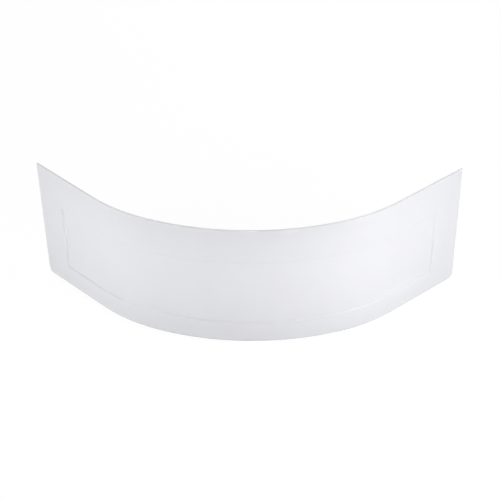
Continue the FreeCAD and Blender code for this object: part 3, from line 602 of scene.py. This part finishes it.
def end_trim(s, v):
    """Length along the edge, with the ends relieved on an arc where the foot rolls under."""
    half_roll = ROLL * ROLL_TURN / 2
    below = v - FACE_END - half_roll
    if below < 0:
        fall = max(END_CORNER + below, 0.0)
        cut = END_CORNER - math.sqrt(END_CORNER**2 - fall**2)
    else:
        back = min(below / half_roll, 1.0)
        cut = END_CORNER * (1 + math.cos(math.pi * back)) / 2
    share = max(abs(s) - HALF_LENGTH + END_BAND, 0.0) / END_BAND
    return math.copysign(abs(s) - cut * share, s)


def eased(distance):
    """How far a trimmed corner falls back at a distance from its edge."""
    if distance >= EDGE_ROUND:
        return 0.0
    return EDGE_ROUND - math.sqrt(EDGE_ROUND**2 - (EDGE_ROUND - distance) ** 2)


def hand_laid(s, v):
    """Uneven thickness of hand-laid fibre."""
    broad = noise.noise(Vector((BROAD_WAVES * s, BROAD_WAVES * v, 0.5)))
    close = noise.noise(Vector((CLOSE_WAVES * s, CLOSE_WAVES * v, 4.5)))
    return BROAD_HEIGHT * broad + CLOSE_HEIGHT * close


def make_layer(name, near, far, fine, coarse, finishes, ease, rough):
    """One layer of the shell as a closed sheet between two depths behind the show face.

    Ease rounds off its near side towards the border, and rough makes its far side uneven.
    """
    field_low = FACE - FIELD_RISE
    roll_middle = FACE_END + ROLL * ROLL_TURN / 2
    roll_end = FACE_END + ROLL * ROLL_TURN
    columns = lines(
        -HALF_LENGTH,
        HALF_LENGTH,
        coarse,
        [
            (-HALF_LENGTH, HEM - HALF_LENGTH, HEM_STEP),
            (HALF_LENGTH - HEM, HALF_LENGTH, HEM_STEP),
            (-FIELD_HALF - FINE_OUTSIDE, FINE_INSIDE - FIELD_HALF, fine),
            (FIELD_HALF - FINE_INSIDE, FIELD_HALF + FINE_OUTSIDE, fine),
        ],
    )
    rows = lines(
        0.0,
        SECTION_END,
        coarse,
        [
            (0.0, HEM, HEM_STEP),
            (FIELD_DROP - FINE_OUTSIDE, FIELD_DROP + FINE_INSIDE, fine),
            (field_low - FINE_INSIDE, field_low + FINE_OUTSIDE, fine),
            (FACE_END - END_CORNER, FACE_END, 3 * fine),
            (FACE_END, roll_middle, 2 * fine),
            (roll_middle, roll_end, 2 * fine),
            (SECTION_END - HEM, SECTION_END, HEM_STEP),
        ],
    )
    width = len(columns)
    points = []
    sheet = []
    for behind, side in ((near, 0), (far, 1)):
        for v in rows:
            for s in columns:
                border = min(v, SECTION_END - v, HALF_LENGTH - abs(s))
                depth = behind + (recess(s, v, behind) if v < FACE_END else 0.0)
                depth += ease(border) if side == 0 else rough(s, v)
                inward, z = section(v, depth)
                along = end_trim(s, v)
                x, y, turn = plan(along)
                points.append((x - inward * math.sin(turn), y + inward * math.cos(turn), z))
                sheet.append((along, v))
    back = width * len(rows)
    form = Form()
    cells = [r * width + c for r in range(len(rows) - 1) for c in range(width - 1)]
    outer = [[i, i + width, i + width + 1, i + 1] for i in cells]
    inner = [[back + i, back + i + 1, back + i + width + 1, back + i + width] for i in cells]
    form.add(points, outer + inner)
    last = width * (len(rows) - 1)
    across = [(c, c + 1) for c in range(width - 1)]
    across += [(last + c + 1, last + c) for c in range(width - 1)]
    upright = [(r * width + width, r * width) for r in range(len(rows) - 1)]
    upright += [(r * width + width - 1, r * width + 2 * width - 1) for r in range(len(rows) - 1)]
    form.join([[a, b, back + b, back + a] for a, b in across + upright], paint=1)
    return form.piece(name, finishes, sheet=sheet)


def make_shell():
    """Acrylic skin and the glass fibre laid up behind it."""
    skin = make_layer(
        "skin_sheet",
        near=0.0,
        far=SKIN,
        fine=SKIN_FINE,
        coarse=SKIN_COARSE,
        finishes=("acrylic", "trimmed"),
        ease=eased,
        rough=lambda s, v: 0.0,
    )
    dress(skin, "panel", "gloss_acrylic", "acrylic_skin")
    fibre = make_layer(
        "fibre_sheet",
        near=SKIN,
        far=SKIN + BACKING,
        fine=FIBRE_FINE,
        coarse=FIBRE_COARSE,
        finishes=("fibre", "trimmed"),
        ease=lambda border: 0.0,
        rough=hand_laid,
    )
    dress(fibre, "panel", "glass_fibre", "glassfibre_backing")


def station_frame(name):
    """Upright frame at a station: origin on the stud's axis, Y inward."""
    low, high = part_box(f"foot_stud_{name}")
    mounts = {mount["name"]: mount for mount in frame["record"]["mounts"]}
    inward = Vector(mounts[f"tongue_hole_{name}"]["axis"])
    turn = math.atan2(-inward.x, inward.y)
    middle = (low + high) / 2
    return Matrix.Translation((middle.x, middle.y, 0)) @ Matrix.Rotation(turn, 4, "Z")


def box_in(node, place):
    """Lowest and highest corners of a CAD node in a placed frame."""
    back = place.inverted()
    points = [back @ vertex.co for vertex in frame["nodes"][node].data.vertices]
    low = Vector([min(point[i] for point in points) for i in range(3)])
    high = Vector([max(point[i] for point in points) for i in range(3)])
    return low, high


def backing_face(place):
    """Function that gives the Y of the backing's inner face at a station's X and Z."""
    turn = place.to_euler().z
    origin = place.translation
    behind = (SKIN + BACKING) / math.cos(LEAN)
    if abs(turn) < CROWN_HALF:
        to_pivot = (Vector((0, FRONT + CROWN)) - origin.xy).length
        return lambda x, z: to_pivot - math.sqrt(
            (CROWN - behind - (HEIGHT - z) * math.tan(LEAN)) ** 2 - x * x
        )
    edge_x, edge_y, _ = plan(math.copysign(HALF_LENGTH, turn))
    inward = Vector((-math.sin(turn), math.cos(turn)))
    to_edge = (origin.xy - Vector((edge_x, edge_y))).dot(inward)
    return lambda x, z: behind + (HEIGHT - z) * math.tan(LEAN) - to_edge


def make_block(name, node, place):
    """Plywood block with eased corners, bedded on the backing."""
    low, high = box_in(node, place)
    face = backing_face(place)
    cut = TIMBER_CHAMFER
    form = Form()
    rings = []
    ends = [(low.x, low.x + cut, cut), (high.x - cut, high.x, cut)]
    for x in lines(low.x, high.x, BLOCK_STEP, ends):
        at_end = x in (low.x, high.x)
        seat = high.y - cut if at_end else high.y
        rings.append(
            [
                (x, face(x, low.z), low.z),
                (x, seat - cut, low.z),
                (x, seat, low.z + cut),
                (x, seat, high.z - cut),
                (x, seat - cut, high.z),
                (x, face(x, high.z), high.z),
            ]
        )
    form.loft(rings)
    block = form.piece(name, ["plywood"], place)
    dress(block, "panel", "timber", node)
    make_bead(f"{name}_bedding", place, (low.x, high.x), (low.z, high.z), face)


def make_bead(name, place, across, upright, face):
    """Uneven fillet of resin round the foot of a piece of timber."""
    form = Form()
    corners = [
        Vector((across[0], upright[0])),
        Vector((across[1], upright[0])),
        Vector((across[1], upright[1])),
        Vector((across[0], upright[1])),
    ]
    rings = []
    for i, start in enumerate(corners):
        end = corners[(i + 1) % 4]
        side = (end - start).normalized()
        out = Vector((side.y, -side.x))
        count = math.ceil((end - start).length / BEAD_STEP)
        for j in range(count):
            at = start.lerp(end, (j + 0.5) / count)
            spot = place @ Vector((at.x, 0, at.y))
            size = BEAD * (1 + BEAD_WANDER * noise.noise(BEAD_WAVES * spot))
            rings.append(bead_section(at, out, size, face))
    form.loft(rings, closed=True)
    bead = form.piece(name, ["bead"], place, sharp=60.0)
    dress(bead, "panel", "glass_fibre")


def bead_section(at, out, size, face):
    """Hollow fillet between a timber's side and the backing, its outline in shares of its size."""
    profile = ((-0.15, 1.0), (0.06, 0.95), (0.28, 0.32), (0.95, 0.06), (1.15, -0.1), (-0.15, -0.1))
    points = []
    for outward, up in profile:
        spot = at + out * outward * size
        points.append((spot.x, face(spot.x, spot.y) + up * size, spot.y))
    return points


def make_batten(side):
    """Softwood batten along one end, leaning with the panel."""
    node = f"end_batten_{side}"
    place = station_frame(f"{side}_outer")
    low, high = box_in(node, place)
    face = backing_face(place)
    depth = high.y - face(0, low.z)
    form = Form()
    cut = TIMBER_CHAMFER
    rings = []
    for z in (low.z, low.z + cut, high.z - cut, high.z):
        inset = cut if z in (low.z, high.z) else 0.0
        front = face(0, z)
        back = front + depth - inset
        rings.append(
            [
                (low.x, front, z),
                (high.x, front, z),
                (high.x, back - cut, z),
                (high.x - cut, back, z),
                (low.x + cut, back, z),
                (low.x, back - cut, z),
            ]
        )
    form.loft(rings)
    batten = form.piece(f"batten_{side}", ["softwood"], place)
    dress(batten, "panel", "timber", node)
    make_bead(f"batten_{side}_bedding", place, (low.x, high.x), (low.z, high.z), face)


def hexagon(flats, height):
    """Ring round a hexagon of a width across flats, with two of its flats square to X."""
    points = []
    for i in range(RING_POINTS):
        angle = 2 * math.pi * i / RING_POINTS
        radius = flats / 2 / math.cos((angle + math.pi / 6) % (math.pi / 3) - math.pi / 6)
        points.append((radius * math.cos(angle), radius * math.sin(angle), height))
    return points


def chamfered(flats, height, down):
    """Two rings that end a hexagon with a turned chamfer: its sides' end, then its round face."""
    radius = ROUND_END * flats
    sides = []
    for x, y, z in hexagon(flats, height):
        drop = (math.hypot(x, y) - radius) * TURNED_SLOPE
        sides.append((x, y, z - down * drop))
    return [sides, ring(radius, height)]


def make_nut(name, place):
    """Hexagon nut with chamfered ends, tacked to the bracket by welds."""
    low, high = box_in(f"foot_nut_{name}", place)
    flats = high.y - low.y
    top = chamfered(flats, high.z, 1)
    bottom = list(reversed(chamfered(flats, low.z, -1)))
    bore = [
        ring(BORE + BORE_MOUTH, high.z),
        ring(BORE, high.z - BORE_MOUTH),
        ring(BORE, low.z + BORE_MOUTH),
        ring(BORE + BORE_MOUTH, low.z),
    ]
    form = Form()
    form.loft(bottom + top + bore, closed=True)
    nut = form.piece(f"nut_{name}", ["fastener"], place)
    dress(nut, "panel", "zinc_fastener", f"foot_nut_{name}")
    make_welds(name, place, flats, low.z)


def make_welds(name, place, flats, seat):
    """Short rippled beads, evenly spaced round a nut at its seat."""
    form = Form()
    for i in range(WELDS):
        spin = Matrix.Rotation(WELD_START + 2 * math.pi * i / WELDS, 4, "Z")
        rings = []
        for j in range(WELD_STEPS + 1):
            along = (j / WELD_STEPS - 0.5) * WELD_LENGTH
            bulge = math.sqrt(1 - (2 * along / WELD_SPAN) ** 2)
            size = WELD_RADIUS * bulge * (1 + WELD_RIPPLE * math.cos(j * math.pi))
            circle = ring(size, 0, WELD_POINTS)
            rings.append([spin @ Vector((flats / 2 + a, along, seat + b)) for a, b, _ in circle])
        form.loft(rings)
    welds = form.piece(f"welds_{name}", ["weld"], place, sharp=60.0)
    dress(welds, "panel", "zinc_fastener")


def thread(form, radius, low, top, chamfer):
    """Right-hand thread between two heights, wound as one helical strip and capped.

    Its profile is in shares of the pitch, upward, and of the thread's depth, inward.
    """
    around = 24
    profile = ((0.0, 0.0), (0.12, 0.0), (0.5, 1.0), (0.62, 1.0))
    turns = math.ceil((top - low) / THREAD_PITCH) + 1
    rows = [(turn + at, deep) for turn in range(-1, turns) for at, deep in profile]
    points = []
    for turn, deep in rows:
        for j in range(around + 1):
            z = low + THREAD_PITCH * (turn + j / around)
            held = min(max(z, low), top)
            crest = min(radius, radius - chamfer + (top - held), radius - chamfer + (held - low))
            reach = min(crest, radius - THREAD_DEPTH * deep)
            angle = 2 * math.pi * j / around
            points.append((reach * math.cos(angle), reach * math.sin(angle), held))
    width = around + 1
    faces = []
    for r in range(len(rows) - 1):
        for j in range(around):
            i = r * width + j
            faces.append([i, i + 1, i + width + 1, i + width])
    form.add(points, faces)
    for height in (low, top):
        form.add(ring(radius - chamfer, height, around), [list(range(around))])


def make_stud(name, place):
    """Threaded stud with a chamfered spanner collar and the plain end that the pad holds."""
    low, high = box_in(f"foot_stud_{name}", place)
    pad_top = box_in(f"foot_pad_{name}", place)[1].z
    collar_low = pad_top + COLLAR_GAP
    collar_top = collar_low + COLLAR_HEIGHT
    form = Form()
    form.loft([ring(PLAIN_END, low.z), ring(PLAIN_END, collar_low)])
    form.loft(
        [ring(COLLAR_CORE, collar_low)]
        + list(reversed(chamfered(COLLAR_FLATS, collar_low, -1)))
        + chamfered(COLLAR_FLATS, collar_top, 1)
        + [ring(COLLAR_CORE, collar_top)]
    )
    thread(form, STUD_RADIUS, collar_top, high.z, STUD_CHAMFER)
    stud = form.piece(f"stud_{name}", ["fastener"], place, sharp=25.0)
    dress(stud, f"stud_{name}", "zinc_fastener", f"foot_stud_{name}")


def make_pad(name, place):
    """Moulded pad: disc with a sloping shoulder, boss and gussets."""
    low, high = box_in(f"foot_pad_{name}", place)
    rim = high.x
    base = low.z + PAD_BASE
    form = Form()
    form.loft(
        [
            ring(rim - PAD_ROUND, low.z),
            ring(rim, low.z + PAD_ROUND),
            ring(rim, low.z + PAD_SIDE),
            ring(rim - PAD_SHOULDER, low.z + PAD_SIDE + PAD_SHOULDER),
            ring(rim - PAD_SLOPE + PAD_SHOULDER, base - PAD_CREASE),
            ring(rim - PAD_SLOPE, base),
            ring(BOSS + BOSS_FILLET, base),
            ring(BOSS + BOSS_BEND, base + BOSS_BEND),
            ring(BOSS, base + BOSS_FILLET),
            ring(BOSS - BOSS_DRAFT, high.z - PAD_SHOULDER),
            ring(BOSS - BOSS_DRAFT - PAD_SHOULDER, high.z),
            ring(BORE + BORE_MOUTH, high.z),
            ring(BORE, high.z - BORE_MOUTH),
            ring(BORE, base),
        ]
    )
    half = GUSSET_HALF
    narrow = GUSSET_TAPER * half
    root = base - GUSSET_ROOT
    for i in range(GUSSETS):
        spin = Matrix.Rotation(2 * math.pi * i / GUSSETS, 4, "Z")
        rings = []
        for radius, height in ((BOSS - half, high.z - GUSSET_DROP), (rim - GUSSET_END, base)):
            corners = ((-half, root), (half, root), (narrow, height), (-narrow, height))
            rings.append([spin @ Vector((radius, y, z)) for y, z in corners])
        form.loft(rings)
    pad = form.piece(f"pad_{name}", ["plastic"], place)
    dress(pad, f"foot_{name}", "pad_plastic", f"foot_pad_{name}")


def screw_mesh():
    """One flanged pan-head screw along +Z, its flange seated at Z = 0, with a cross recess."""
    form = Form()
    form.loft([ring(radius, height) for radius, height in SCREW_OUTLINE])
    head = form.piece("screw_blank", ["fastener"])
    cross = Form()
    arm = CROSS_ARM
    half = CROSS_HALF
    outline = [
        (arm, -half), (arm, half), (half, half), (half, arm), (-half, arm), (-half, half),
        (-arm, half), (-arm, -half), (-half, -half), (-half, -arm), (half, -arm), (half, -half),
    ]
    rings = []
    for z, share in (CROSS_FLOOR, CROSS_MOUTH):
        rings.append([(x * share, y * share, z) for x, y in outline])
    cross.loft(rings)
    cutter = cross.piece("screw_cutter", ["fastener"])
    cut = head.modifiers.new("recess", "BOOLEAN")
    cut.object = cutter
    cut.solver = "EXACT"
    seen = head.evaluated_get(bpy.context.evaluated_depsgraph_get())
    mesh = bpy.data.meshes.new_from_object(seen)
    for scrap in (head, cutter):
        bpy.data.objects.remove(scrap)
    return mesh


def make_screws(kind, name, place, screw):
    """Pair of screws at a station, each left at its own angle."""
    node = f"{kind}_screws_{name}"
    low, high = box_in(node, place)
    seat = high.y - SCREW_HEAD
    inward = Matrix.Rotation(-math.pi / 2, 4, "X")
    work = bmesh.new()
    for x in (-SCREW_PITCH / 2, SCREW_PITCH / 2):
        single = screw.copy()
        angle = STATION_TURN * STATIONS.index(name) + PAIR_TURN * x
        if kind == "foot":
            angle += FOOT_TURN
        spot = Matrix.Translation((x, seat, (low.z + high.z) / 2))
        single.transform(spot @ inward @ Matrix.Rotation(angle, 4, "Z"))
        work.from_mesh(single)
        bpy.data.meshes.remove(single)
    mesh = bpy.data.meshes.new(f"{kind}_screw_pair_{name}")
    work.to_mesh(mesh)
    work.free()
    mesh.materials.append(MATERIALS["fastener"])
    mesh.shade_smooth()
    mesh.set_sharp_from_angle(angle=SCREW_SHARP)
    pair = bpy.data.objects.new(mesh.name, mesh)
    bpy.context.scene.collection.objects.link(pair)
    pair.matrix_world = place
    dress(pair, "panel", "zinc_fastener", node)


def finish_node(node, material):
    """Give a CAD node that stays its material."""
    shown = frame["nodes"][node]
    shown.data.materials.clear()
    shown.data.materials.append(MATERIALS[material])


def make_fixings():
    """Timber, plates, brackets, feet and screws of the four stations, and the two battens."""
    screw = screw_mesh()
    for name in STATIONS:
        place = station_frame(name)
        make_block(f"hanger_timber_{name}", f"hanger_block_{name}", place)
        make_block(f"foot_timber_{name}", f"foot_block_{name}", place)
        make_nut(name, place)
        make_stud(name, place)
        make_pad(name, place)
        for kind in ("hanger", "foot"):
            make_screws(kind, name, place, screw)
        finish_node(f"hanger_plate_{name}", "plate")
        finish_node(f"foot_bracket_{name}", "plate")
    bpy.data.meshes.remove(screw)
    for side in ("left", "right"):
        make_batten(side)


# The photograph's camera, fitted to the panel's edges: square frame, no shift
FRAME_PIXELS = 500
FOCAL_PIXELS = 1860
CAMERA_TARGET = Vector((0.011, FRONT + 0.350, 0.276))
CAMERA_DISTANCE = 8.338
CAMERA_TURN = math.radians(-2.95)
CAMERA_RISE = math.radians(33.65)
CAMERA_ROLL = math.radians(-0.80)
CAMERA_REACH = 100


def make_camera():
    """Camera at the photograph's angle."""
    data = bpy.data.cameras.new("camera")
    data.sensor_fit = "HORIZONTAL"
    data.lens = FOCAL_PIXELS * data.sensor_width / FRAME_PIXELS
    data.clip_end = CAMERA_REACH
    level = math.cos(CAMERA_RISE)
    sine = math.sin(CAMERA_TURN)
    cosine = math.cos(CAMERA_TURN)
    forward = Vector((sine * level, cosine * level, -math.sin(CAMERA_RISE)))
    right = Vector((cosine, -sine, 0))
    up = right.cross(forward)
    turned_right = right * math.cos(CAMERA_ROLL) + up * math.sin(CAMERA_ROLL)
    turned_up = up * math.cos(CAMERA_ROLL) - right * math.sin(CAMERA_ROLL)
    axes = Matrix((turned_right, turned_up, -forward)).transposed().to_4x4()
    camera = bpy.data.objects.new("camera", data)
    camera.matrix_world = Matrix.Translation(CAMERA_TARGET - forward * CAMERA_DISTANCE) @ axes
    bpy.context.scene.collection.objects.link(camera)
    bpy.context.scene.camera = camera


def seen_directly(nodes):
    """Share that is 1 for rays that show the surroundings: camera, mirror and glass rays."""
    share = 0.0
    for kind in ("Is Camera Ray", "Is Glossy Ray", "Is Transmission Ray"):
        share = nodes.maths("MAXIMUM", share, nodes.node("ShaderNodeLightPath", {}, output=kind))
    return share


# Brightness all round, at the horizon and overhead, and the part of the way up where it falls
HORIZON = 1.07
CEILING = 0.30
FALL_START = 0.15
FALL_END = 0.75

# Floor, just below the part, and the glow that whitens it where it is seen
FLOOR_SIZE = 60.0
FLOOR_DROP = 0.0003
FLOOR_SHADE = 0.76
FLOOR_GLOW = 1.165
GLOW_SHARE = 0.75


def make_floor():
    """Pale floor that is seen white and keeps the panel's soft shadow."""
    half = FLOOR_SIZE / 2
    mesh = bpy.data.meshes.new("floor")
    corners = [(-half, -half, 0), (half, -half, 0), (half, half, 0), (-half, half, 0)]
    mesh.from_pydata(corners, [], [[0, 1, 2, 3]])
    material = bpy.data.materials.new("floor_white")
    material.use_nodes = True
    nodes = Nodes(material.node_tree)
    nodes.tree.nodes.remove(nodes.tree.nodes["Principled BSDF"])
    grey = (FLOOR_SHADE, FLOOR_SHADE, FLOOR_SHADE, 1)
    diffuse = nodes.node("ShaderNodeBsdfDiffuse", {"Color": grey})
    glow = nodes.node("ShaderNodeEmission", {"Strength": FLOOR_GLOW})
    share = nodes.band(seen_directly(nodes), 0.0, 1.0, 0.0, GLOW_SHARE)
    mixed = nodes.node("ShaderNodeMixShader", {0: share, 1: diffuse, 2: glow})
    nodes.plug(nodes.tree.nodes["Material Output"].inputs["Surface"], mixed)
    mesh.materials.append(material)
    floor = bpy.data.objects.new("floor", mesh)
    floor.location.z = -FLOOR_DROP
    bpy.context.scene.collection.objects.link(floor)


def make_world():
    """Even light from all round that falls off overhead, and white where its horizon is seen."""
    world = bpy.data.worlds.new("studio")
    world.use_nodes = True
    nodes = Nodes(world.node_tree)
    horizon = nodes.band(seen_directly(nodes), 0.0, 1.0, HORIZON, 1.0)
    direction = nodes.coordinates("Generated")
    upward = nodes.node("ShaderNodeSeparateXYZ", {"Vector": direction}, output="Z")
    light = nodes.band(upward, FALL_START, FALL_END, horizon, CEILING)
    background = nodes.tree.nodes["Background"]
    nodes.plug(background.inputs["Color"], (1, 1, 1, 1))
    nodes.plug(background.inputs["Strength"], light)
    bpy.context.scene.world = world


def make_lamp(name, spot, target, size, power, spread=180.0):
    """Softbox that faces a target, with a grid where its spread is less than 180 degrees."""
    data = bpy.data.lights.new(name, "AREA")
    data.shape = "RECTANGLE"
    data.size, data.size_y = size
    data.spread = math.radians(spread)
    data.energy = power
    lamp = bpy.data.objects.new(name, data)
    lamp.location = spot
    lamp.rotation_euler = (Vector(target) - Vector(spot)).to_track_quat("-Z", "Y").to_euler()
    bpy.context.scene.collection.objects.link(lamp)


def make_studio():
    """Floor, world and softboxes: a strip with a grid in front, two on each side and one behind.

    The strip's narrow spread lights the middle of the face and leaves the foot darker.
    """
    make_floor()
    make_world()
    make_lamp("front", (0.0, -4.0, 0.38), (0, 0, 0.38), size=(1.6, 0.3), power=0.50, spread=16.0)
    make_lamp("right", (1.40, -1.0, 0.45), (0.55, -0.12, 0.25), size=(0.7, 0.7), power=3.75)
    make_lamp("high_right", (2.80, -0.85, 2.47), (0.50, -0.10, 0.40), size=(2.2, 2.2), power=27)
    make_lamp("left", (-1.62, -0.84, 0.45), (-0.57, -0.11, 0.30), size=(0.7, 0.7), power=3.9)
    make_lamp("high_left", (-2.30, -1.30, 2.60), (-0.43, -0.17, 0.13), size=(0.5, 0.5), power=4.5)
    make_lamp("rear", (0.5, 4.5, 3.2), (0, 0, 0.3), size=(2.0, 2.0), power=25)


make_shell()
make_fixings()
make_camera()
make_studio()
bpy.context.scene.view_settings.view_transform = "Standard"
